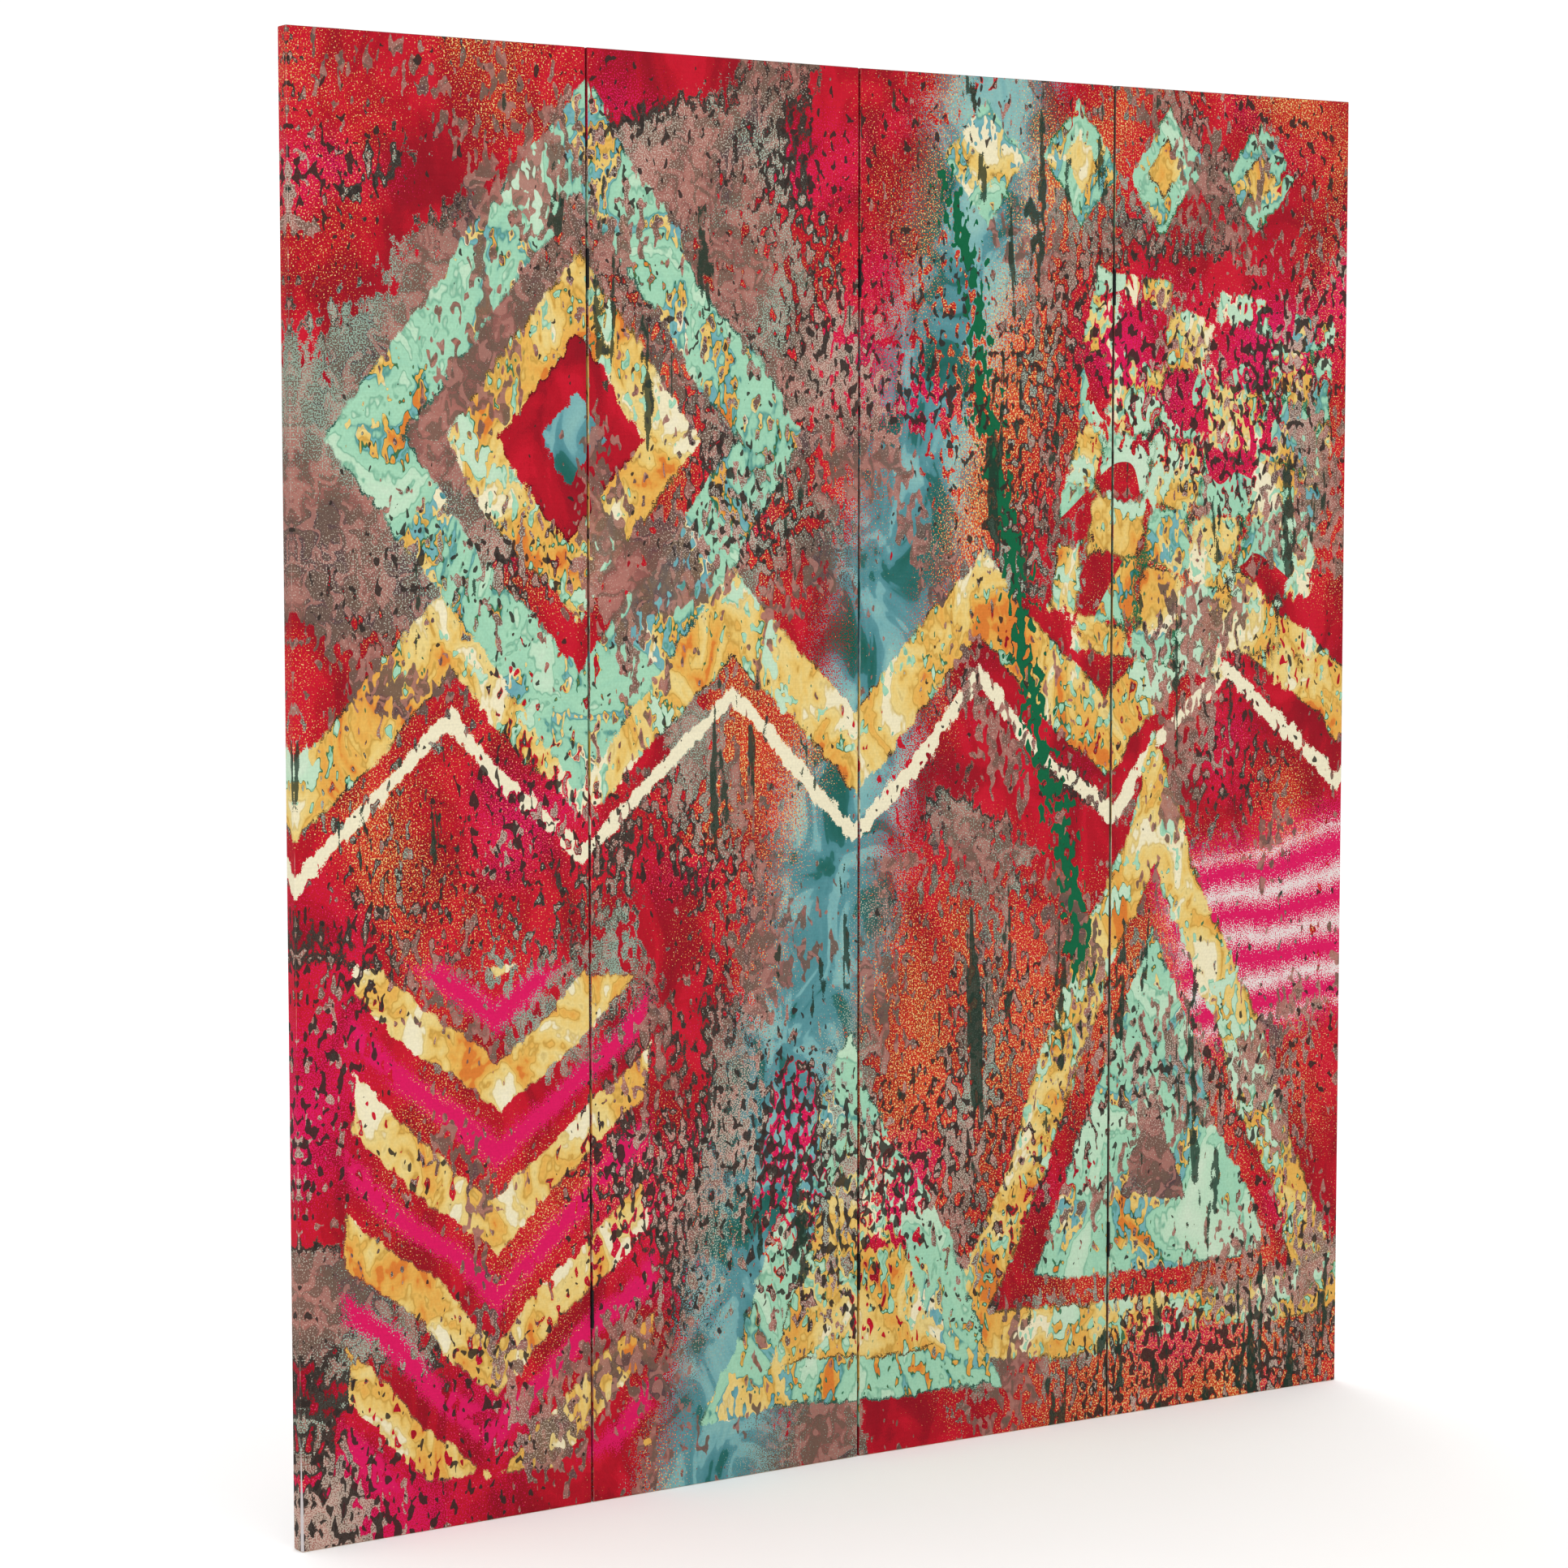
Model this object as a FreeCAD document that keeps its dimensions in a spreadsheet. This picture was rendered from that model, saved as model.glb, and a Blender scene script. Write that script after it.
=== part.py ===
import FreeCAD, Part
import math
import os

import Sketcher
from FreeCAD import Placement, Rotation, Vector

# A four-panel folding screen. Each panel is a dowelled softwood frame in a printed canvas,
# and two double-acting hinges join each pair of panels: three leaves on two pins, so that
# a panel folds either way.
#
# Frame of the screen: +X to the right along the row of panels, +Y to the back, +Z up.
# The origin is on the floor, in the middle of the screen's footprint.
# Frame of a panel: x from its left edge, y from its middle plane, z from the floor.
# Frame of a hinge: x from the middle of the gap, y from the panels' middle plane, z from its foot.

doc = FreeCAD.newDocument("canvas_screen")
sheet = doc.addObject("Spreadsheet::Sheet", "dims")


class Dim:
    """A size with its number and the words that tie it to the sheet."""

    def __init__(self, number, words):
        self.number, self.words = float(number), words

    def with_other(self, other, sign, number):
        words = other.words if isinstance(other, Dim) else repr(float(other))
        return Dim(number, "(%s %s %s)" % (self.words, sign, words))

    def __add__(self, other):
        return self.with_other(other, "+", self.number + float(other))

    def __sub__(self, other):
        return self.with_other(other, "-", self.number - float(other))

    def __mul__(self, other):
        return self.with_other(other, "*", self.number * float(other))

    def __truediv__(self, other):
        return self.with_other(other, "/", self.number / float(other))

    def __neg__(self):
        return Dim(-self.number, "(0 - %s)" % self.words)

    def __float__(self):
        return self.number


rows = [
    # one panel
    ("panel_width", 400.0),
    ("panel_height", 1797.0),
    ("panel_depth", 22.0),
    ("canvas_thick", 0.5),
    ("lip_width", 25.0),  # the canvas turned in on the back of the frame
    ("back_inset", 1.5),  # the back canvas stops this far from the edges
    # the frame inside it
    ("stile_width", 38.0),
    ("rail_width", 38.0),
    ("cross_width", 30.0),
    ("cross_depth", 14.0),
    ("cross_low", 585.0),
    ("cross_high", 1182.0),
    ("arris", 1.0),
    ("dowel_radius", 4.0),
    ("dowel_length", 40.0),
    ("dowel_bore", 21.0),
    ("dowel_spread", 9.0),
    ("cross_spread", 7.0),
    ("staple_crown", 10.0),
    ("staple_wide", 1.2),
    ("staple_thick", 0.5),
    ("staple_leg", 8.0),
    ("staple_inset", 11.0),
    ("staple_pitch", 88.0),
    # the hinges
    ("gap_width", 3.0),
    ("hinge_tall", 47.0),
    ("hinge_low", 221.7),
    ("hinge_high", 1507.5),
    ("leaf_thick", 0.8),
    ("leaf_reach", 20.0),
    ("barrel_radius", 1.6),
    ("bore_radius", 0.8),
    ("pin_radius", 0.75),
    ("pin_head", 1.2),
    ("pin_head_thick", 0.5),
    ("pin_offset", 1.7),  # from the face of the panel to the pin
    ("knuckle_tall", 15.4),
    ("knuckle_play", 0.3),
    ("screw_radius", 1.2),
    ("screw_head", 2.2),
    ("screw_head_thick", 1.0),
    ("screw_length", 15.0),
    ("screw_tip", 3.0),
    ("pilot_radius", 1.05),
    ("screw_play", 0.05),
    ("screw_foot", 8.0),
    ("screw_near", 5.0),
    ("screw_far", 4.0),
    # how the screen stands: the middle hinges are a little folded
    ("rest_fold", 1.94),
    ("fold_pin_y", -7.5385),
]
D = {}
for k, (alias, number) in enumerate(rows, 1):
    sheet.set("A%d" % k, alias)
    sheet.set("B%d" % k, str(number))
    sheet.setAlias("B%d" % k, alias)
    D[alias] = Dim(number, "dims." + alias)
doc.recompute()

W, H, T, CT = D["panel_width"], D["panel_height"], D["panel_depth"], D["canvas_thick"]
SW, RW, GAP = D["stile_width"], D["rail_width"], D["gap_width"]
ZERO = Dim(0, "0")
FRONT = CT - T / 2  # the frame's front face
BACK = T / 2 - CT * 2  # and its back face, under the lip and the back canvas
MID = (FRONT + BACK) / 2
PIN_Y = T / 2 + D["pin_offset"]
LEAF_X = GAP / 2 - D["leaf_thick"]  # a leaf's face towards the gap
CLEAR = D["barrel_radius"] + D["knuckle_play"]

nodes = []  # (label, object) of each sub-part


def node(thing, label):
    thing.Label = label
    nodes.append((label, thing))
    return thing


# ---- sketches and features --------------------------------------------------------------


def new_body(name):
    return doc.addObject("PartDesign::Body", name)


def new_sketch(body, role, offset):
    sk = body.newObject("Sketcher::SketchObject", body.Name + "_sketch")
    plane = [f for f in body.Origin.OriginFeatures if f.Role == role][0]
    sk.AttachmentSupport = [(plane, "")]
    sk.MapMode = "FlatFace"
    sk.setExpression("AttachmentOffset.Base.z", offset.words)
    return sk


def tie(sk, kind, a, a_end, b, b_end, dim):
    """A driving distance, measured in the direction in which it is positive."""
    if float(dim) < 0:
        a, a_end, b, b_end, dim = b, b_end, a, a_end, -dim
    c = sk.addConstraint(Sketcher.Constraint(kind, a, a_end, b, b_end, float(dim)))
    sk.setExpression("Constraints[%d]" % c, dim.words)


def rectangle(sk, left, low, wide, high):
    x, y, w, t = float(left), float(low), float(wide), float(high)
    p = [Vector(x, y), Vector(x + w, y), Vector(x + w, y + t), Vector(x, y + t)]
    n = sk.GeometryCount
    for i in range(4):
        sk.addGeometry(Part.LineSegment(p[i], p[(i + 1) % 4]), False)
    for i in range(4):
        sk.addConstraint(Sketcher.Constraint("Coincident", n + i, 2, n + (i + 1) % 4, 1))
        sk.addConstraint(Sketcher.Constraint("Vertical" if i % 2 else "Horizontal", n + i))
    tie(sk, "DistanceX", -1, 1, n, 1, left)
    tie(sk, "DistanceY", -1, 1, n, 1, low)
    tie(sk, "DistanceX", n, 1, n, 2, wide)
    tie(sk, "DistanceY", n + 1, 1, n + 1, 2, high)


def circle(sk, across, up, radius):
    n = sk.GeometryCount
    sk.addGeometry(
        Part.Circle(Vector(float(across), float(up), 0), Vector(0, 0, 1), float(radius)), False
    )
    c = sk.addConstraint(Sketcher.Constraint("Radius", n, float(radius)))
    sk.setExpression("Constraints[%d]" % c, radius.words)
    tie(sk, "DistanceX", -1, 1, n, 3, across)
    tie(sk, "DistanceY", -1, 1, n, 3, up)


def outline(sk, points):
    """A closed outline through points, each one tied to the sheet."""
    n, count = sk.GeometryCount, len(points)
    for i in range(count):
        a, b = points[i], points[(i + 1) % count]
        sk.addGeometry(
            Part.LineSegment(
                Vector(float(a[0]), float(a[1])), Vector(float(b[0]), float(b[1]))
            ),
            False,
        )
    for i in range(count):
        sk.addConstraint(Sketcher.Constraint("Coincident", n + i, 2, n + (i + 1) % count, 1))
    for i, (x, y) in enumerate(points):
        for kind, dim in (("DistanceX", x), ("DistanceY", y)):
            if abs(float(dim)) > 1e-9:
                tie(sk, kind, -1, 1, n + i, 1, dim)
            else:
                on = -2 if kind == "DistanceX" else -1
                sk.addConstraint(Sketcher.Constraint("PointOnObject", n + i, 1, on))


def pad(body, sk, length):
    f = body.newObject("PartDesign::Pad", body.Name + "_pad")
    f.Profile = sk
    f.setExpression("Length", length.words)
    doc.recompute()
    return f


def pocket(body, sk, length, towards_normal):
    """Cuts a blind hole and makes sure that it took wood away."""
    before = body.Shape.Volume
    f = body.newObject("PartDesign::Pocket", body.Name + "_pocket")
    f.Profile = sk
    f.setExpression("Length", length.words)
    f.Reversed = towards_normal
    doc.recompute()
    if not body.Shape.Volume < before - 1e-3:
        raise RuntimeError(body.Name + ": a pocket cut nothing")
    return f


def box(name, low, size):
    b = doc.addObject("Part::Box", name)
    for side, dim in zip(("Length", "Width", "Height"), size):
        b.setExpression(side, dim.words)
    for axis, dim in zip("xyz", low):
        b.setExpression("Placement.Base." + axis, dim.words)
    return b


def cylinder(name, foot, radius, height):
    c = doc.addObject("Part::Cylinder", name)
    c.setExpression("Radius", radius.words)
    c.setExpression("Height", height.words)
    for axis, dim in zip("xyz", foot):
        c.setExpression("Placement.Base." + axis, dim.words)
    return c


def cut(name, base, tool):
    c = doc.addObject("Part::Cut", name)
    c.Base, c.Tool = base, tool
    return c


def fuse(name, shapes):
    f = doc.addObject("Part::MultiFuse", name)
    f.Shapes = shapes
    f.Refine = True
    return f


def group(label, master, places, at):
    """Several like pieces in one node, each a solid of its own."""
    g = doc.addObject("Part::Feature", label)
    copies = []
    for p in places:
        s = master.Shape.copy()
        s.Placement = p.multiply(s.Placement)
        copies.append(s)
    g.Shape = Part.makeCompound(copies)
    g.Placement = at
    return node(g, label)


# ---- where the panels and links stand ---------------------------------------------------

half = float(D["rest_fold"]) / 2
fold_pin = Vector(0, float(D["fold_pin_y"]), 0)


def standing(pin_in_panel, angle):
    """The place of a panel whose point pin_in_panel is at the middle hinges' front pin."""
    turn = Placement(Vector(), Rotation(Vector(0, 0, 1), angle))
    return Placement(fold_pin, Rotation()).multiply(turn).multiply(
        Placement(pin_in_panel.negative(), Rotation())
    )


pitch = float(W + GAP)
panel_at = {
    1: standing(Vector(float(W + GAP / 2) + pitch, -float(PIN_Y), 0), half),
    2: standing(Vector(float(W + GAP / 2), -float(PIN_Y), 0), half),
    3: standing(Vector(-float(GAP / 2), -float(PIN_Y), 0), -half),
    4: standing(Vector(-float(GAP / 2) - pitch, -float(PIN_Y), 0), -half),
}
at_right_edge = Placement(Vector(float(W + GAP / 2), 0, 0), Rotation())
at_left_edge = Placement(Vector(-float(GAP / 2), 0, 0), Rotation())
about = Placement(Vector(), Rotation(Vector(0, 0, 1), 180))
hinge_feet = [
    Placement(Vector(0, 0, float(D["hinge_low"])), Rotation()),
    Placement(Vector(0, 0, float(D["hinge_high"])), Rotation()),
]

# The three screws of a leaf, on the panel's right edge: (y, height above the hinge's foot).
leaf_screws = [
    (-D["screw_near"], D["screw_foot"]),
    (D["screw_far"], D["hinge_tall"] / 2),
    (-D["screw_near"], D["hinge_tall"] - D["screw_foot"]),
]

# ---- the frame's timber -----------------------------------------------------------------

rail_middles = [
    (CT + RW / 2, D["dowel_spread"]),
    (D["cross_low"] + D["cross_width"] / 2, D["cross_spread"]),
    (D["cross_high"] + D["cross_width"] / 2, D["cross_spread"]),
    (H - CT - RW / 2, D["dowel_spread"]),
]


def stile(label, right, hinged, at):
    """An upright, with dowel bores in its inner side and pilot holes in its outer side."""
    body = new_body(label)
    low = W - CT - SW if right else CT
    outer, inner = (W - CT, W - CT - SW) if right else (CT, CT + SW)
    sk = new_sketch(body, "XY_Plane", CT)
    rectangle(sk, low, FRONT, SW, BACK - FRONT)
    stock = pad(body, sk, H - CT * 2)
    corners = []
    for k, e in enumerate(stock.Shape.Edges, 1):
        a, b = e.Vertexes[0].Point, e.Vertexes[-1].Point
        if abs(a.z - b.z) > 100 and abs(a.x - float(outer)) < 0.01:
            corners.append("Edge%d" % k)
    rounded = body.newObject("PartDesign::Fillet", body.Name + "_arris")
    rounded.Base = (stock, corners)
    rounded.setExpression("Radius", D["arris"].words)
    doc.recompute()
    sk = new_sketch(body, "YZ_Plane", inner)
    for middle, spread in rail_middles:
        for up in (middle - spread, middle + spread):
            circle(sk, MID, up, D["dowel_radius"])
    pocket(body, sk, D["dowel_bore"], right)
    if hinged:
        sk = new_sketch(body, "YZ_Plane", outer)
        for foot in ("hinge_low", "hinge_high"):
            for across, up in leaf_screws:
                circle(sk, across if right else -across, D[foot] + up, D["pilot_radius"])
        pocket(body, sk, D["screw_length"], not right)
    body.Placement = at
    return node(body, label)


def rail(label, low, high, depth, middle, spread, at):
    """A cross member, with two dowel bores in each end."""
    body = new_body(label)
    left, right = CT + SW, W - CT - SW
    sk = new_sketch(body, "YZ_Plane", left)
    rectangle(sk, MID - depth / 2, low, depth, high)
    pad(body, sk, right - left)
    for end, inwards in ((left, True), (right, False)):
        sk = new_sketch(body, "YZ_Plane", end)
        for up in (middle - spread, middle + spread):
            circle(sk, MID, up, D["dowel_radius"])
        pocket(body, sk, D["dowel_bore"], inwards)
    body.Placement = at
    return node(body, label)


# ---- like pieces, made once -------------------------------------------------------------

# A dowel, lying along x, with its ends chamfered.
dowel = new_body("dowel")
sk = new_sketch(dowel, "YZ_Plane", -(D["dowel_length"] / 2))
circle(sk, ZERO + 0, ZERO + 0, D["dowel_radius"])
shank = pad(dowel, sk, D["dowel_length"])
eased = dowel.newObject("PartDesign::Chamfer", "dowel_ends")
eased.Base = (shank, ["Edge%d" % k for k, e in enumerate(shank.Shape.Edges, 1) if e.Closed])
eased.setExpression("Size", D["arris"].words)
doc.recompute()

# A staple, with its crown along x, level with y 0, and its legs towards -y.
crown = box(
    "staple_crown",
    (-(D["staple_crown"] / 2), -D["staple_thick"], -(D["staple_wide"] / 2)),
    (D["staple_crown"], D["staple_thick"], D["staple_wide"]),
)
legs = [
    box(
        "staple_leg",
        (x, -(D["staple_thick"] + D["staple_leg"]), -(D["staple_wide"] / 2)),
        (D["staple_thick"], D["staple_leg"] + D["staple_thick"], D["staple_wide"]),
    )
    for x in (-(D["staple_crown"] / 2), D["staple_crown"] / 2 - D["staple_thick"])
]
staple = fuse("staple", [crown] + legs)

# A countersunk screw, its head level with z 0 and its tip towards -z.
screw = new_body("screw")
sk = new_sketch(screw, "XZ_Plane", ZERO)
R, HEAD, TOP = D["screw_radius"], D["screw_head"], D["screw_head_thick"]
outline(
    sk,
    [
        (ZERO, ZERO),
        (HEAD, ZERO),
        (R, -TOP),
        (R, D["screw_tip"] - D["screw_length"]),
        (ZERO, -D["screw_length"]),
    ],
)
turned = screw.newObject("PartDesign::Revolution", "screw_turned")
turned.Profile = sk
turned.ReferenceAxis = (sk, ["V_Axis"])
turned.Angle = 360
doc.recompute()
sk = new_sketch(screw, "XY_Plane", ZERO)
arm, slot = HEAD * 0.6, HEAD * 0.14
outline(
    sk,
    [
        (-slot, -arm), (slot, -arm), (slot, -slot), (arm, -slot), (arm, slot), (slot, slot),
        (slot, arm), (-slot, arm), (-slot, slot), (-arm, slot), (-arm, -slot), (-slot, -slot),
    ],
)
pocket(screw, sk, TOP * 0.7, False)

# A hinge pin, peened over at both ends, on the z axis with its knuckles from z 0 up.
pin = new_body("pin")
sk = new_sketch(pin, "XZ_Plane", ZERO)
P, PH, PT, TALL = D["pin_radius"], D["pin_head"], D["pin_head_thick"], D["hinge_tall"]
outline(
    sk,
    [
        (ZERO, -PT), (PH * 0.7, -PT), (PH, -(PT * 0.5)), (PH, ZERO), (P, ZERO),
        (P, TALL), (PH, TALL), (PH, TALL + PT * 0.5), (PH * 0.7, TALL + PT), (ZERO, TALL + PT),
    ],
)
turned = pin.newObject("PartDesign::Revolution", "pin_turned")
turned.Profile = sk
turned.ReferenceAxis = (sk, ["V_Axis"])
turned.Angle = 360

# The left leaf: a plate on the panel's right edge, and two knuckles round the front pin.
# Turned half a turn about z, it is the right leaf, round the back pin.
TH, KT = D["leaf_thick"], D["knuckle_tall"]
plate = box(
    "leaf_plate",
    (-(GAP / 2), CLEAR - PIN_Y, ZERO),
    (TH, D["leaf_reach"] - CLEAR + D["pin_offset"], TALL),
)
parts = [plate]
for foot in (ZERO, TALL - KT):
    parts.append(box("leaf_neck", (-(GAP / 2), -PIN_Y, foot), (TH, CLEAR + 1, KT)))
    parts.append(cylinder("leaf_knuckle", (ZERO, -PIN_Y, foot), D["barrel_radius"], KT))
rolled = fuse("leaf_rolled", parts)
holes = [cylinder("leaf_bore", (ZERO, -PIN_Y, ZERO), D["bore_radius"], TALL)]
for across, up in leaf_screws:
    c = doc.addObject("Part::Cone", "leaf_countersink")
    c.setExpression("Radius1", (HEAD + D["screw_play"] - TH).words)
    c.setExpression("Radius2", (HEAD + D["screw_play"]).words)
    c.setExpression("Height", TH.words)
    c.Placement = Placement(
        Vector(-float(GAP / 2), float(across), float(up)), Rotation(Vector(0, 1, 0), 90)
    )
    holes.append(c)
leaf = cut("leaf", rolled, fuse("leaf_holes", holes))

# The link: a plate between the two pins, with a knuckle in the middle of each.
MT = TALL - KT * 2 - D["knuckle_play"] * 2
MZ = KT + D["knuckle_play"]
parts = [
    box("link_plate", (-(TH / 2), CLEAR - PIN_Y, ZERO), (TH, PIN_Y * 2 - CLEAR * 2, TALL)),
    box("link_neck", (-(TH / 2), -PIN_Y, MZ), (TH, PIN_Y * 2, MT)),
    cylinder("link_knuckle", (ZERO, -PIN_Y, MZ), D["barrel_radius"], MT),
    cylinder("link_knuckle", (ZERO, PIN_Y, MZ), D["barrel_radius"], MT),
]
joined = fuse("link_joined", parts)
bores = fuse(
    "link_bores",
    [
        cylinder("link_bore", (ZERO, y, ZERO), D["bore_radius"], TALL)
        for y in (-PIN_Y, PIN_Y)
    ],
)
link = cut("link", joined, bores)
doc.recompute()

# ---- the panels -------------------------------------------------------------------------

into_left = Rotation(Vector(0, 1, 0), 90)  # a screw that points to -x
staple_runs = []
first, last = float(SW) + 22, float(H) - float(SW) - 22
steps = int(round((last - first) / float(D["staple_pitch"])))
upright = Rotation(Vector(0, 1, 0), 90)
level = float(T / 2 - CT)
for k in range(steps + 1):
    z = first + (last - first) * k / steps
    for foot in (float(D["hinge_low"]), float(D["hinge_high"])):
        # clear of the hinge screws, on the nearer side of the hinge
        below, above = foot - 20, foot + float(TALL) + 20
        if below < z < above:
            z = below if z - below < above - z else above
    for x in (float(D["staple_inset"]), float(W) - float(D["staple_inset"])):
        staple_runs.append(Placement(Vector(x, level, z), upright))
for x in (90, 163, 237, 310):
    for z in (float(D["staple_inset"]), float(H) - float(D["staple_inset"])):
        staple_runs.append(Placement(Vector(x, level, z), Rotation()))

dowel_runs = []
for middle, spread in rail_middles:
    for up in (middle - spread, middle + spread):
        for x in (CT + SW, W - CT - SW):
            dowel_runs.append(Placement(Vector(float(x), float(MID), float(up)), Rotation()))


def screws_in(edge):
    """The places of the screws in one edge of a panel."""
    found = []
    for foot in hinge_feet:
        for across, up in leaf_screws:
            local = Placement(Vector(-float(LEAF_X), float(across), float(up)), into_left)
            if edge == "right":
                found.append(at_right_edge.multiply(foot).multiply(local))
            else:
                found.append(at_left_edge.multiply(foot).multiply(about).multiply(local))
    return found


def hole_tools(name, edge):
    """Cylinders that pierce the canvas where the hinge screws go through it."""
    tools = []
    for place in screws_in(edge):
        c = doc.addObject("Part::Cylinder", name)
        c.setExpression("Radius", (HEAD + D["screw_play"] - TH).words)
        c.Height = 4
        c.Placement = place.multiply(Placement(Vector(0, 0, -4), Rotation()))
        tools.append(c)
    return tools


for i in (1, 2, 3, 4):
    name, at = "panel_%d_" % i, panel_at[i]
    stile(name + "left_stile", False, i > 1, at)
    stile(name + "right_stile", True, i < 4, at)
    wood = BACK - FRONT
    rail(name + "bottom_rail", CT, RW, wood, rail_middles[0][0], rail_middles[0][1], at)
    for which, (middle, spread) in (("lower", rail_middles[1]), ("upper", rail_middles[2])):
        low = D["cross_low" if which == "lower" else "cross_high"]
        rail(
            name + which + "_cross_rail", low, D["cross_width"], D["cross_depth"], middle, spread, at
        )
    rail(name + "top_rail", H - CT - RW, RW, wood, rail_middles[3][0], rail_middles[3][1], at)
    group(name + "dowels", dowel, dowel_runs, at)
    group(name + "staples", staple, staple_runs, at)

    # The front canvas: over the face, round the four edges and in on the back.
    skin = box(name + "skin", (ZERO, -(T / 2), ZERO), (W, T - CT, H))
    hollow = box(
        name + "hollow", (CT, FRONT, CT), (W - CT * 2, BACK - FRONT, H - CT * 2)
    )
    lip = D["lip_width"]
    window = box(name + "window", (lip, FRONT, lip), (W - lip * 2, T, H - lip * 2))
    tools = [hollow, window]
    if i > 1:
        tools += hole_tools(name + "canvas_hole", "left")
    if i < 4:
        tools += hole_tools(name + "canvas_hole", "right")
    canvas = cut(name + "front_canvas", skin, fuse(name + "canvas_tools", tools))
    canvas.Placement = at
    node(canvas, name + "front_canvas")

    # The back canvas: a flat sheet over the turned-in edges.
    inset = D["back_inset"]
    back = doc.addObject("Part::Box", name + "back_canvas")
    back.setExpression("Length", (W - inset * 2).words)
    back.setExpression("Width", CT.words)
    back.setExpression("Height", (H - inset * 2).words)
    back.Placement = at.multiply(
        Placement(Vector(float(inset), float(T / 2 - CT), float(inset)), Rotation())
    )
    node(back, name + "back_canvas")

    screws = (screws_in("left") if i > 1 else []) + (screws_in("right") if i < 4 else [])
    group(name + "hinge_screws", screw, screws, at)

# ---- the hinges -------------------------------------------------------------------------

front_pin = Placement(Vector(0, -float(PIN_Y), 0), Rotation())
back_pin = Placement(Vector(0, float(PIN_Y), 0), Rotation())
for j in (1, 2, 3):
    name = "hinge_%d_" % j
    left = panel_at[j].multiply(at_right_edge)
    right = panel_at[j + 1].multiply(at_left_edge)
    group(name + "left_leaves", leaf, hinge_feet, left)
    group(name + "right_leaves", leaf, [f.multiply(about) for f in hinge_feet], right)
    group(name + "links", link, hinge_feet, right)
    group(name + "front_pins", pin, [f.multiply(front_pin) for f in hinge_feet], left)
    group(name + "back_pins", pin, [f.multiply(back_pin) for f in hinge_feet], right)

doc.recompute()

# ---- nothing is written unless every piece is sound --------------------------------------

for thing in doc.Objects:
    if "Invalid" in thing.State or "Error" in thing.State:
        raise RuntimeError("%s is %s" % (thing.Name, thing.State))
labels = [label for label, thing in nodes]
if len(set(labels)) != len(labels) or len(labels) > 60:
    raise RuntimeError("node names")
for label, thing in nodes:
    if thing.Shape.isNull() or not thing.Shape.isValid() or not thing.Shape.Solids:
        raise RuntimeError(label + " has no sound shape")
    if thing.Label != label:
        raise RuntimeError(label + " became " + thing.Label)

os.makedirs("parts", exist_ok=True)
whole = FreeCAD.BoundBox()
for label, thing in nodes:
    whole.add(thing.Shape.BoundBox)
    thing.Shape.exportStep("parts/%s.step" % label)
    print("%-28s %3d solids %12.1f mm3" % (label, len(thing.Shape.Solids), thing.Shape.Volume))
print(len(nodes), "nodes", whole)
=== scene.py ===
import math

import bpy
import numpy as np
from mathutils import Matrix, Vector


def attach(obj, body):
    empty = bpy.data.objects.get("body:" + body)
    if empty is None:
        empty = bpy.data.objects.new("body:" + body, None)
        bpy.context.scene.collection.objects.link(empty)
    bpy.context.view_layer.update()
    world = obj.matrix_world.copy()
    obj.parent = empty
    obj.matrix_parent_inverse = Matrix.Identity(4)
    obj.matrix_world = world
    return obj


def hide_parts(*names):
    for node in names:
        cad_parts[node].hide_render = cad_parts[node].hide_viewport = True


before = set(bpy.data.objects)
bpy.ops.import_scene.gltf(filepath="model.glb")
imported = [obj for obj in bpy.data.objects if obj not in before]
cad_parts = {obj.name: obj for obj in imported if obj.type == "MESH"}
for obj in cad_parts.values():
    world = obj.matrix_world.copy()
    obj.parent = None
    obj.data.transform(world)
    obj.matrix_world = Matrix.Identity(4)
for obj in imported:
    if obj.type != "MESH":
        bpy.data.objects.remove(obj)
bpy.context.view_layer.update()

MM = 0.001
# One panel, in millimetres: its width, height and depth, and how the four stand in the row.
WIDE, TALL, DEEP, GAP = 400.0, 1797.0, 22.0, 3.0
PITCH = WIDE + GAP
PIN_Y = DEEP / 2 + 1.7
REST_TURN = math.radians(0.97)
FOLD_PIN_Y = -7.5385
CLOTH = 0.5
LIP = 25.0
PANELS = {
    1: (WIDE + GAP / 2 + PITCH, REST_TURN),
    2: (WIDE + GAP / 2, REST_TURN),
    3: (-GAP / 2, -REST_TURN),
    4: (-GAP / 2 - PITCH, -REST_TURN),
}


def to_row(n, points):
    """Points of panel n, in millimetres from its left edge, middle plane and floor, in the row frame."""
    pin, turn = PANELS[n]
    p = np.array(points, float)
    dx, dy = p[:, 0] - pin, p[:, 1] + PIN_Y
    c, s = math.cos(turn), math.sin(turn)
    return np.stack([c * dx - s * dy, s * dx + c * dy + FOLD_PIN_Y, p[:, 2]], 1) * MM


# ---- nodes of a material, made in the order in which they are worked out ------------------


def linear(rgb):
    out = []
    for x in rgb:
        x = x / 255.0
        out.append(x / 12.92 if x <= 0.04045 else ((x + 0.055) / 1.055) ** 2.4)
    return (*out, 1.0)


class Num:
    """A number that varies over the surface."""

    def __init__(self, net, out):
        self.net, self.out = net, out

    def __add__(self, o):
        return self.net.math("ADD", self, o)

    __radd__ = __add__

    def __sub__(self, o):
        return self.net.math("SUBTRACT", self, o)

    def __rsub__(self, o):
        return self.net.math("SUBTRACT", o, self)

    def __mul__(self, o):
        return self.net.math("MULTIPLY", self, o)

    __rmul__ = __mul__

    def __truediv__(self, o):
        return self.net.math("DIVIDE", self, o)

    def __abs__(self):
        return self.net.math("ABSOLUTE", self)


class Ink:
    """A colour that varies over the surface."""

    def __init__(self, net, out):
        self.net, self.out = net, out


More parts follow.
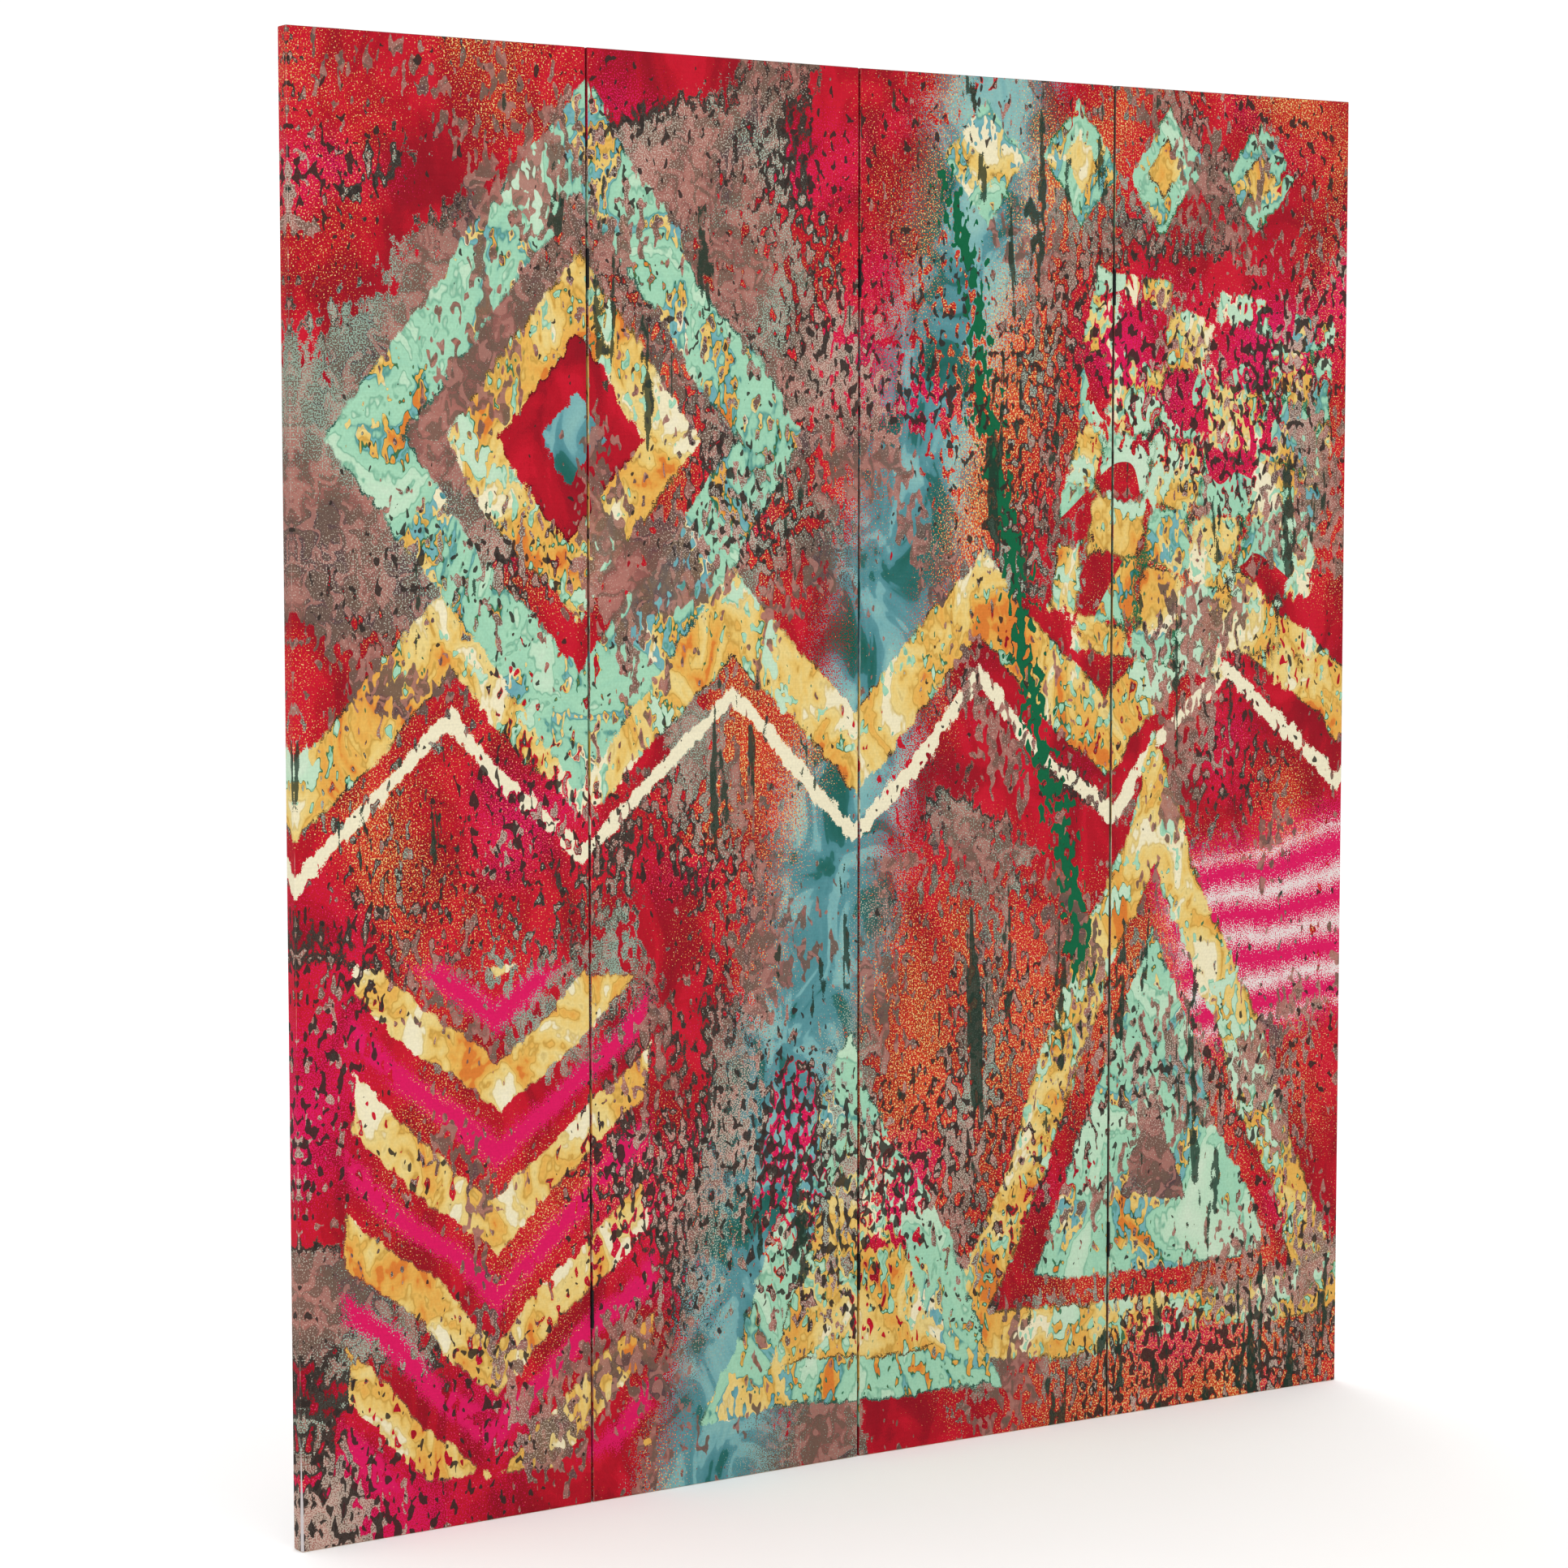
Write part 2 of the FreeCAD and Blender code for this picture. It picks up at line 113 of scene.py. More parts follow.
class Net:
    def __init__(self, name):
        self.material = bpy.data.materials.new(name)
        self.material.use_nodes = True
        self.tree = self.material.node_tree
        self.tree.nodes.clear()
        self.count = 0

    def node(self, kind, **fields):
        n = self.tree.nodes.new(kind)
        n.location = (200 * (self.count % 30), -240 * (self.count // 30))
        self.count += 1
        for key, value in fields.items():
            setattr(n, key, value)
        return n

    def put(self, socket, value):
        if isinstance(value, (Num, Ink)):
            self.tree.links.new(value.out, socket)
        elif isinstance(value, bpy.types.NodeSocket):
            self.tree.links.new(value, socket)
        else:
            socket.default_value = value

    def math(self, op, *values, clamp=False):
        n = self.node("ShaderNodeMath", operation=op, use_clamp=clamp)
        for socket, value in zip(n.inputs, values):
            self.put(socket, value)
        return Num(self, n.outputs[0])

    def most(self, *values):
        out = values[0]
        for v in values[1:]:
            out = self.math("MAXIMUM", out, v)
        return out

    def least(self, *values):
        out = values[0]
        for v in values[1:]:
            out = self.math("MINIMUM", out, v)
        return out

    def madd(self, a, b, c):
        return self.math("MULTIPLY_ADD", a, b, c)

    def remap(self, x, a, b, low=0.0, high=1.0):
        """low where x is at a or beyond it, high at b, straight between."""
        n = self.node("ShaderNodeMapRange", clamp=True)
        for socket, value in zip(n.inputs, (x, a, b, low, high)):
            self.put(socket, value)
        return Num(self, n.outputs[0])

    def scaled(self, place, scale, offset=(0.0, 0.0, 0.0)):
        n = self.node("ShaderNodeVectorMath", operation="MULTIPLY_ADD")
        self.put(n.inputs[0], place)
        n.inputs[1].default_value = scale
        n.inputs[2].default_value = offset
        return n.outputs[0]

    def noise(self, place, scale, offset, detail=2.0, rough=0.5, bend=0.0, pair=False, flat=True):
        """A cloudy field from 0 to 1. Scale is in features per metre."""
        vec = self.scaled(place, (*scale, 0.0)[:3], (*offset, 0.0)[:3])
        n = self.node("ShaderNodeTexNoise", noise_dimensions="2D" if flat else "3D")
        self.put(n.inputs["Vector"], vec)
        n.inputs["Scale"].default_value = 1.0
        n.inputs["Detail"].default_value = detail
        n.inputs["Roughness"].default_value = rough
        n.inputs["Distortion"].default_value = bend
        if not pair:
            return Num(self, n.outputs[0])
        split = self.node("ShaderNodeSeparateColor")
        self.put(split.inputs[0], n.outputs[1])
        return Num(self, split.outputs[0]), Num(self, split.outputs[1])

    def ramp(self, x, stops, steps=False):
        n = self.node("ShaderNodeValToRGB")
        r = n.color_ramp
        r.interpolation = "CONSTANT" if steps else "LINEAR"
        while len(r.elements) < len(stops):
            r.elements.new(0.5)
        for e, (at, rgb) in zip(r.elements, sorted(stops)):
            e.position = at
            e.color = linear(rgb)
        self.put(n.inputs[0], x)
        return Ink(self, n.outputs[0])

    def mix(self, a, b, share, blend="MIX"):
        n = self.node("ShaderNodeMix", data_type="RGBA", blend_type=blend)
        self.put(n.inputs[0], share)
        for socket, value in ((n.inputs[6], a), (n.inputs[7], b)):
            self.put(socket, linear(value) if isinstance(value, tuple) else value)
        return Ink(self, n.outputs[2])

    def bump(self, height, strength, distance):
        n = self.node("ShaderNodeBump")
        n.inputs["Strength"].default_value = strength
        n.inputs["Distance"].default_value = distance
        self.put(n.inputs["Height"], height)
        return n.outputs[0]

    def surface(self, colour, rough, normal=None, **constants):
        n = self.node("ShaderNodeBsdfPrincipled")
        self.put(n.inputs["Base Color"], colour)
        self.put(n.inputs["Roughness"], rough)
        if normal is not None:
            self.put(n.inputs["Normal"], normal)
        for key, value in constants.items():
            n.inputs[key.replace("_", " ")].default_value = value
        out = self.node("ShaderNodeOutputMaterial")
        self.put(out.inputs["Surface"], n.outputs[0])
        return self.material


# ---- the printed cloth -------------------------------------------------------------------

CREAM = (247, 238, 205)
DARK = (52, 44, 40)
FOREST = (14, 104, 66)
PINK = (228, 24, 98)
WHITE_INK = (240, 226, 222)
RAW = (226, 219, 204)


def on_map(net, name):
    """The print's own coordinates, in metres: across the row and up from the floor."""
    n = net.node("ShaderNodeUVMap", uv_map=name)
    split = net.node("ShaderNodeSeparateXYZ")
    net.put(split.inputs[0], n.outputs[0])
    return n.outputs[0], Num(net, split.outputs[0]), Num(net, split.outputs[1])


def weave(net, u, v):
    """Plain weave: threads 0.62 mm apart, up and across, each over one and under the next."""
    turn = 2 * math.pi / 0.00124
    across = net.math("SINE", u * turn)
    up = net.math("SINE", v * turn)
    return across * up


def printed_cloth(name, seed, motifs, lean=0.0):
    """One print. Lean turns the ground towards mauve (above 0) or red (below 0)."""
    net = Net(name)
    place, u0, v0 = on_map(net, "print")
    s = float(seed)

    # fields shared by all inks
    bend_u, bend_v = net.noise(place, (4.2, 4.2), (s, 3.1), 1.5, 0.5, pair=True)
    wob_u, wob_v = net.noise(place, (34, 27), (s + 7.7, 1.9), 2.5, 0.62, pair=True)
    grain = net.noise(place, (540, 540), (s, 9.3), 0.0, 0.5)
    fleck = net.noise(place, (360, 300), (s + 5.1, 2.2), 0.0, 0.5)
    blot = net.noise(place, (88, 46), (s + 1.3, 6.6), 1.3, 0.5, bend=0.22)
    wash = net.noise(place, (13, 8.5), (s + 2.5, 4.7), 3.0, 0.55, bend=0.6)
    pool = net.noise(place, (9, 7), (s + 8.8, 0.6), 3.0, 0.55, bend=0.9)
    land = net.noise(place, (1.75, 1.55), (s + 3.6, 5.2), 2.6, 0.52, bend=0.8)
    part = net.noise(place, (3.1, 2.3), (s + 6.2, 7.4), 2.0, 0.5, bend=0.4)
    area = net.noise(place, (2.5, 2.9), (s + 9.7, 1.4), 2.0, 0.5)
    haze = net.noise(place, (5.6, 4.1), (s + 1.9, 6.8), 2.5, 0.55, bend=0.5)
    speck = grain - 0.5
    lump = blot - 0.5

    # inks, each with its own pools and with lines where a pool dried
    gold = net.ramp(
        net.madd(lump, 0.18, wash),
        [
            (0.0, (252, 246, 224)), (0.37, (247, 236, 196)), (0.395, (222, 194, 120)),
            (0.415, (243, 218, 142)), (0.505, (239, 199, 108)), (0.53, (206, 160, 72)),
            (0.55, (239, 189, 94)), (0.64, (235, 168, 74)), (0.665, (227, 132, 54)), (1.0, (222, 112, 44)),
        ],
    )
    mint = net.ramp(
        net.madd(lump, 0.16, pool),
        [
            (0.0, (226, 238, 214)), (0.39, (194, 230, 198)), (0.412, (126, 184, 154)),
            (0.432, (172, 222, 188)), (0.535, (160, 214, 183)), (0.56, (84, 150, 140)),
            (0.58, (126, 186, 186)), (0.66, (104, 164, 176)), (0.69, (46, 120, 114)), (1.0, (30, 98, 92)),
        ],
    )
    # gold with islands of mint, mint with islands of gold, each island ringed in part with dark green
    share = net.madd(pool, 1.3, -0.65) + lump
    ring = net.remap(wash, 0.44, 0.58, 0.004, 0.05)
    line = net.remap(abs(share + 0.15), ring, 0.0)
    golden = net.mix(gold, mint, net.remap(share, -0.142, -0.158))
    golden = net.mix(golden, FOREST, net.remap(line, 0.3, 0.6, 0.0, 0.9))
    line = net.remap(abs(share - 0.13), ring, 0.0)
    minty = net.mix(mint, gold, net.remap(share, 0.122, 0.138))
    minty = net.mix(minty, FOREST, net.remap(line, 0.3, 0.6, 0.0, 0.9))
    red = net.ramp(
        net.madd(speck, 0.10, wash),
        [
            (0.28, (210, 26, 50)), (0.43, (202, 22, 44)), (0.445, (190, 20, 40)),
            (0.54, (180, 19, 38)), (0.555, (166, 18, 36)), (0.75, (146, 17, 33)),
        ],
    )
    mauve = net.ramp(
        net.madd(speck, 0.12, pool),
        [
            (0.25, (178, 118, 106)), (0.41, (168, 109, 98)), (0.425, (154, 100, 91)),
            (0.52, (145, 94, 86)), (0.535, (122, 92, 79)), (0.61, (113, 83, 77)),
            (0.625, (98, 75, 75)), (0.8, (82, 67, 68)),
        ],
    )
    mottle = net.noise(place, (52, 44), (s + 3.3, 2.1), 1.6, 0.5, bend=0.9)
    tone = net.madd(speck, 0.02, mottle)
    mauve = net.mix(mauve, (114, 92, 79), net.remap(tone, 0.53, 0.55, 0.0, 0.75))
    mauve = net.mix(mauve, (182, 126, 114), net.remap(tone, 0.455, 0.435, 0.0, 0.7))
    dust = net.remap(net.madd(area, 1.3, grain), 1.31, 1.40, 0.0, 0.66)
    mauve = net.mix(mauve, (226, 208, 190), dust)
    dust = net.remap(net.madd(haze, -1.5, grain), -0.02, 0.07, 0.0, 0.7)
    mauve = net.mix(mauve, (164, 202, 182), dust)

    # the ground: red and mauve, broken into upright islands where they meet
    spark = net.ramp(fleck, [(0.40, (222, 82, 40)), (0.52, (234, 124, 48)), (0.60, (246, 206, 132))])
    ground = net.mix(red, PINK, net.remap(net.madd(area, 2.0, speck), 1.31, 1.33))
    ground = net.mix(ground, spark, net.remap(net.madd(part, 1.2, grain), 1.30, 1.33))
    broken = net.remap(part, 0.40, 0.60, 0.35, 1.5)
    meet = net.madd(land, 2.4, lean - 1.2) + lump * broken + speck * 0.08
    ground = net.mix(ground, mauve, net.remap(meet, -0.01, 0.01))
    ring = net.remap(area, 0.40, 0.58, 0.002, 0.10)
    line = net.remap(abs(meet - 0.035), ring, 0.0)
    ground = net.mix(ground, DARK, net.remap(line, 0.35, 0.55, 0.0, 0.92))

    rag = net.madd(wob_u, 0.016, -0.008) + net.madd(lump, 0.014, speck * 0.005)
    u = net.madd(bend_u, 0.05, u0) - 0.025
    v = net.madd(bend_v, 0.05, v0) - 0.025
    whole = net.remap(net.madd(lump, 1.2, area), 0.70, 0.685)
    tools = dict(
        net=net, u=u, v=v, rag=rag, golden=golden, minty=minty, mint=mint, gold=gold, red=red, mauve=mauve,
        speck=speck, wash=wash, part=part, area=area, lump=lump, whole=whole, ground=ground,
    )
    colour = motifs(ground, tools)

    # a later pass of mauve over parts of it, then dark flecks and runs
    over = net.madd(haze, 1.7, -0.85) + lump
    colour = net.mix(colour, mauve, net.remap(over, 0.225, 0.24, 0.0, 0.94))
    spot = net.noise(place, (88, 58), (s + 4.4, 8.1), 1.5, 0.5, bend=0.3)
    dark = net.remap(net.madd(area, 0.75, spot), 1.085, 1.095, 0.0, 0.94)
    colour = net.mix(colour, DARK, dark)
    runs = net.noise(place, (30, 3.4), (s + 2.9, 3.3), 3.0, 0.62, bend=0.4)
    run = net.remap(net.madd(part, 0.7, runs) + net.madd(lump, 0.25, speck * 0.06), 1.09, 1.10, 0.0, 0.9)
    colour = net.mix(colour, (34, 58, 46), run)

    # grain of the cloth in the ink, with painted shade in the weave's hollows, and a pale strip at the foot of the
    # first panel's left front edge
    threads = weave(net, u0, v0)
    slub = net.noise(place, (9, 520), (s + 0.7, 2.8), 1.0, 0.5)
    shade = net.madd(fleck, 0.10, 0.598) + net.madd(slub, 0.08, -0.04)
    # the print multiplied by the cloth's grain and slubs, with painted shade darkening the weave's hollows
    colour = net.mix(colour, net.grey(net.madd(threads, 0.03, shade)), 1.0, "MULTIPLY")
    worn = net.node("ShaderNodeAttribute", attribute_name="wear")
    rub = net.remap(net.madd(wob_v, 0.55, Num(net, worn.outputs["Fac"])), 1.22, 1.36, 0.0, 0.5)
    colour = net.mix(colour, RAW, rub)
    # painted shade: dark grey-green mixed into the print along the top front edge and deep in panel 4's left side
    painted_shade = net.node("ShaderNodeAttribute", attribute_name="painted_shade")
    colour = net.mix(colour, (62, 66, 58), net.remap(Num(net, painted_shade.outputs["Fac"]), 0.25, 0.75, 0.0, 0.75))
    # a pale grey-pink strip at the foot of the first panel's left front edge
    bare = net.node("ShaderNodeAttribute", attribute_name="bare")
    colour = net.mix(colour, (180, 173, 173), net.remap(Num(net, bare.outputs["Fac"]), 0.45, 0.55))
    rough = net.remap(blot, 0.3, 0.7, 0.72, 0.86)
    height = net.madd(threads, 0.5, slub)
    return net.surface(
        colour, rough, net.bump(height, 0.35, 0.00012),
        Specular_IOR_Level=0.07, Sheen_Weight=0.02, Sheen_Roughness=0.5,
    )


def grey(net, x):
    n = net.node("ShaderNodeCombineColor")
    for socket in n.inputs[:3]:
        net.put(socket, x)
    return Ink(net, n.outputs[0])


Net.grey = grey


def lay(t, colour, d, ink, whole=None, rim=None, dust=0.0):
    """Lays an ink where the distance d is below 0, ragged, with a dried rim inside it or an edge gone to dust."""
    net = t["net"]
    d = d + t["rag"]
    if dust:
        d = net.madd(t["speck"], dust, d)
    shown = net.remap(d, 0.0004, -0.0004)
    if whole is not None:
        shown = shown * whole
    colour = net.mix(colour, ink, shown)
    if rim is not None:
        line = net.remap(abs(d + 0.0009), 0.0024, 0.0009) * net.remap(t["wash"], 0.46, 0.54)
        colour = net.mix(colour, rim, line * shown)
    return colour


def band(net, d, wide):
    """The strip just inside an outline."""
    return abs(d + wide / 2) - wide / 2


def half_plane(t, at, angle):
    """Distance beyond a straight line through a point. The angle is where it faces, in degrees."""
    nx, ny = math.cos(math.radians(angle)), math.sin(math.radians(angle))
    net = t["net"]
    return net.madd(t["u"], nx, net.madd(t["v"], ny, -(at[0] * nx + at[1] * ny)))


def polygon(t, corners):
    """Distance from a convex outline whose corners go round to the left."""
    sides = []
    for k, a in enumerate(corners):
        b = corners[(k + 1) % len(corners)]
        angle = math.degrees(math.atan2(b[1] - a[1], b[0] - a[0])) - 90
        sides.append(half_plane(t, a, angle))
    return t["net"].most(*sides)


def diamond(t, at, half_wide, half_tall):
    net = t["net"]
    long = math.hypot(half_wide, half_tall)
    a, b = half_tall / long, half_wide / long
    du, dv = abs(t["u"] - at[0]), abs(t["v"] - at[1])
    return net.madd(du, a, net.madd(dv, b, -half_wide * a))


def zigzag(t, low, rise, tall, period, half_thick, shift=0.0):
    net = t["net"]
    wave = net.math("PINGPONG", t["u"] + (10 * period + shift), period / 2)
    slope = 2 * tall / period
    line = t["v"] - net.madd(wave, slope, net.madd(t["u"], rise, low))
    return net.madd(abs(line), 1 / math.hypot(1, slope), -half_thick)


def stripes(t, field, pitch, half_thick):
    net = t["net"]
    return net.math("PINGPONG", field, pitch / 2) - half_thick


def front_motifs(colour, t):
    net = t["net"]
    golden, minty, whole = t["golden"], t["minty"], t["whole"]
    teal = net.ramp(
        t["wash"],
        [
            (0.30, (150, 198, 190)), (0.46, (122, 178, 180)), (0.475, (96, 154, 160)),
            (0.57, (78, 140, 146)), (0.585, (46, 112, 108)), (0.75, (24, 92, 76)),
        ],
    )

    # a broad leaning beam behind the rest, its edges gone to dust
    d = abs(half_plane(t, (0.80, 0.9), -14)) - 0.075
    colour = lay(t, colour, d, teal, whole, dust=0.16)
    # a slanted patch at the right
    d = polygon(t, [(1.34, 0.48), (1.68, 0.54), (1.68, 0.82), (1.28, 0.76)])
    colour = lay(t, colour, d, PINK, whole, dust=0.10)
    colour = lay(t, colour, net.most(d + 0.02, stripes(t, half_plane(t, (1.0, 1.0), 98) + 2.0, 0.066, 0.010)), WHITE_INK, whole, dust=0.05)

    # a zigzag right across the row, with a thin one under it
    d = zigzag(t, 0.90, 0.03, 0.19, 0.40, 0.038)
    colour = lay(t, colour, d, golden, whole, DARK)
    d = zigzag(t, 0.795, 0.03, 0.19, 0.40, 0.009)
    colour = lay(t, colour, d, CREAM, whole)

    # nested diamonds, upper left
    d = diamond(t, (0.385, 1.325), 0.345, 0.43)
    colour = lay(t, colour, band(net, d, 0.086), minty, whole, (44, 84, 72))
    colour = lay(t, colour, d + 0.128, golden, whole, (92, 70, 40))
    colour = lay(t, colour, d + 0.190, t["red"], None, (92, 16, 24))
    colour = lay(t, colour, d + 0.235, teal, whole)

    # a row of small lozenges along the top
    half_wide, half_tall = 0.062, 0.080
    long = math.hypot(half_wide, half_tall)
    across = net.math("PINGPONG", t["u"] + 0.50, 0.075)
    d = net.madd(across, half_tall / long, net.madd(abs(t["v"] - 1.69), half_wide / long, -half_wide * half_tall / long))
    d = net.most(d, half_plane(t, (0.93, 1.7), 180), half_plane(t, (1.525, 1.7), 0))
    colour = lay(t, colour, d, minty, whole, FOREST)
    colour = lay(t, colour, d + 0.026, t["gold"], None, DARK)

    # peaks, lower right
    d = polygon(t, [(0.92, 0.10), (1.64, 0.10), (1.28, 0.93)])
    colour = lay(t, colour, band(net, d, 0.066), golden, whole, (92, 70, 40))
    colour = lay(t, colour, d + 0.105, minty, whole, (40, 78, 70))
    colour = lay(t, colour, d + 0.196, t["mauve"], None, (80, 62, 60))
    d = polygon(t, [(0.56, 0.07), (1.04, 0.07), (0.79, 0.56)])
    colour = lay(t, colour, d, minty, whole, (44, 84, 72))
    colour = lay(t, colour, d + 0.062, golden, whole, (92, 70, 40))

    # chequers, upper right
    region = polygon(t, [(1.10, 1.06), (1.52, 0.99), (1.60, 1.49), (1.18, 1.56)])
    a = half_plane(t, (1.10, 1.06), -10)
    b = half_plane(t, (1.10, 1.06), 80)
    check = (net.math("PINGPONG", a, 0.085) - 0.0425) * (net.math("PINGPONG", b, 0.085) - 0.0425) * 24.0
    colour = lay(t, colour, net.most(region, check), golden, whole, DARK)
    d = net.most(region, check * -1.0, net.remap(t["part"], 0.46, 0.48, 0.1, -0.1))
    colour = lay(t, colour, d, minty, whole, FOREST)

    # chevrons, lower left
    region = polygon(t, [(0.05, 0.06), (0.50, 0.06), (0.47, 0.66), (0.07, 0.70)])
    field = t["v"] - abs(t["u"] - 0.27) * 0.85
    d = net.most(region, stripes(t, field + 1.0, 0.17, 0.033))
    colour = lay(t, colour, d, t["gold"], whole, (120, 60, 60))
    d = net.most(region, stripes(t, field + 1.085, 0.17, 0.018))
    colour = lay(t, colour, d, PINK, whole, dust=0.03)

    # a dark slanted stroke in the middle
    d = net.most(abs(half_plane(t, (1.02, 1.30), 12)) - 0.011, half_plane(t, (1.0, 1.66), 90), half_plane(t, (1.0, 0.62), -90))
    return lay(t, colour, net.madd(t["lump"], 0.09, d), FOREST, None, DARK)


def back_motifs(colour, t):
    net = t["net"]
    golden, minty, whole = t["golden"], t["minty"], t["whole"]
    for low, ink, thick in ((0.30, minty, 0.055), (0.72, golden, 0.034), (1.14, minty, 0.055)):
        d = zigzag(t, low, 0.0, 0.30, 0.62, thick, low)
        colour = lay(t, colour, d, ink, whole, (60, 70, 56))
    return colour


def raw_cloth():
    net = Net("canvas_raw")
    place, u, v = on_map(net, "print")
    threads = weave(net, u, v)
    slub = net.noise(place, (9, 420), (1.0, 2.0), 2.0, 0.5)
    seed = net.noise(place, (160, 160), (4.0, 1.0), 2.0, 0.6)
    colour = net.ramp(net.madd(slub, 0.6, seed * 0.4), [(0.25, (204, 192, 168)), (0.55, (228, 219, 199)), (0.8, (238, 231, 214))])
    return net.surface(
        colour, net.remap(seed, 0.3, 0.7, 0.82, 0.92), net.bump(net.madd(threads, 0.5, slub), 0.4, 0.00015),
        Specular_IOR_Level=0.2, Sheen_Weight=0.15, Sheen_Roughness=0.5,
    )


front_print = printed_cloth("canvas_print_front", 11.0, front_motifs, -0.15)
back_print = printed_cloth("canvas_print_back", 37.0, back_motifs, 0.05)
raw = raw_cloth()


# ---- the cloth itself ----------------------------------------------------------------------

ROUND = 1.5


def stations(low, high, step, extra=()):
    """Places along one side of a panel: close together at the rounded ends, then even."""
    near = [0.0, ROUND * (1 - math.tan(math.pi / 8)), ROUND]
    inner_low, inner_high = low + ROUND, high - ROUND
    count = max(1, int(round((inner_high - inner_low) / step)))
    body = [inner_low + (inner_high - inner_low) * k / count for k in range(1, count)]
    body += [low + 4.0, high - 4.0] + list(extra)
    found = sorted([low + x for x in near] + body + [high - x for x in near])
    out = [found[0]]
    for x in found[1:]:
        if x - out[-1] > 0.3:
            out.append(x)
    out[-1] = high
    return np.array(out)


def smooth(x):
    x = np.clip(x, 0.0, 1.0)
    return x * x * (3 - 2 * x)


def slack(n, x, z):
    """How far the stretched cloth stands in from flat, in mm: in a little between the uprights, with faint pulls from the staples."""
    side = np.minimum(x, WIDE - x)
    end = np.minimum(z, TALL - z)
    hollow = smooth((side - 34) / 70) * smooth((end - 34) / 90)
    drift = np.sin(0.0061 * z + 1.7 * n) * np.sin(0.013 * x + 0.6 * n) * 0.16
    pulls = 0.05 * np.sin(2 * math.pi * z / 88.3 + n) * np.exp(-side / 22.0) * smooth((side - 1.5) / 4)
    pulls = pulls + 0.05 * np.sin(2 * math.pi * x / 73.3 + n) * np.exp(-end / 22.0) * smooth((end - 1.5) / 4)
    return hollow * (0.42 + drift) + pulls


class Cloth:
    """Collects points and faces, with each face's place in the print and in the bake."""

    def __init__(self):
        self.points, self.faces, self.prints, self.bakes, self.mats = [], [], [], [], []
        self.wear, self.bare, self.painted_shade = [], [], []

    def point(self, p, wear=0.0, bare=0.0, painted_shade=0.0):
        self.points.append(p)
        self.wear.append(wear)
        self.bare.append(bare)
        self.painted_shade.append(painted_shade)
        return len(self.points) - 1

    def face(self, ids, prints, bakes, mat):
        self.faces.append(ids)
        self.prints.append(prints)
        self.bakes.append(bakes)
        self.mats.append(mat)

    def build(self, name, n, materials):
        me = bpy.data.meshes.new(name)
        co = to_row(n, self.points)
        me.from_pydata([tuple(p) for p in co], [], self.faces)
        for m in materials:
            me.materials.append(m)
        me.polygons.foreach_set("material_index", np.array(self.mats, np.int32))
        me.polygons.foreach_set("use_smooth", np.ones(len(self.faces), bool))
        for label, source in (("print", self.prints), ("OFBake", self.bakes)):
            layer = me.uv_layers.new(name=label)
            flat = np.array([c for f in source for c in f], np.float32).ravel()
            layer.data.foreach_set("uv", flat)
        for label, source in (("wear", self.wear), ("bare", self.bare), ("painted_shade", self.painted_shade)):
            a = me.attributes.new(label, "FLOAT", "POINT")
            a.data.foreach_set("value", np.array(source, np.float32))
        me.validate()
        me.update()
        ob = bpy.data.objects.new(name, me)
        bpy.context.scene.collection.objects.link(ob)
        return ob


# Where each part of a sheet lies in its bake: two long strips for the face, four slim ones for
# the sides, and a band above them for the ends and for what is out of sight.
BAKE = 0.93 / (TALL / 2)


def bake_face(x, z):
    if z >= TALL / 2:
        return 0.006 + x * BAKE, 0.004 + (z - TALL / 2) * BAKE
    return 0.430 + x * BAKE, 0.004 + z * BAKE


def bake_side(right, depth, z):
    lane = (2 if right else 0) + (1 if z >= TALL / 2 else 0)
    low = z - TALL / 2 if z >= TALL / 2 else z
    return 0.852 + lane * 0.0285 + depth * BAKE, 0.004 + low * BAKE


def bake_end(top, x, depth):
    return (0.430 if top else 0.006) + x * BAKE, 0.942 + depth * BAKE


def bake_hidden(x, z):
    return 0.86 + 0.12 * x / WIDE, 0.945 + 0.045 * z / TALL


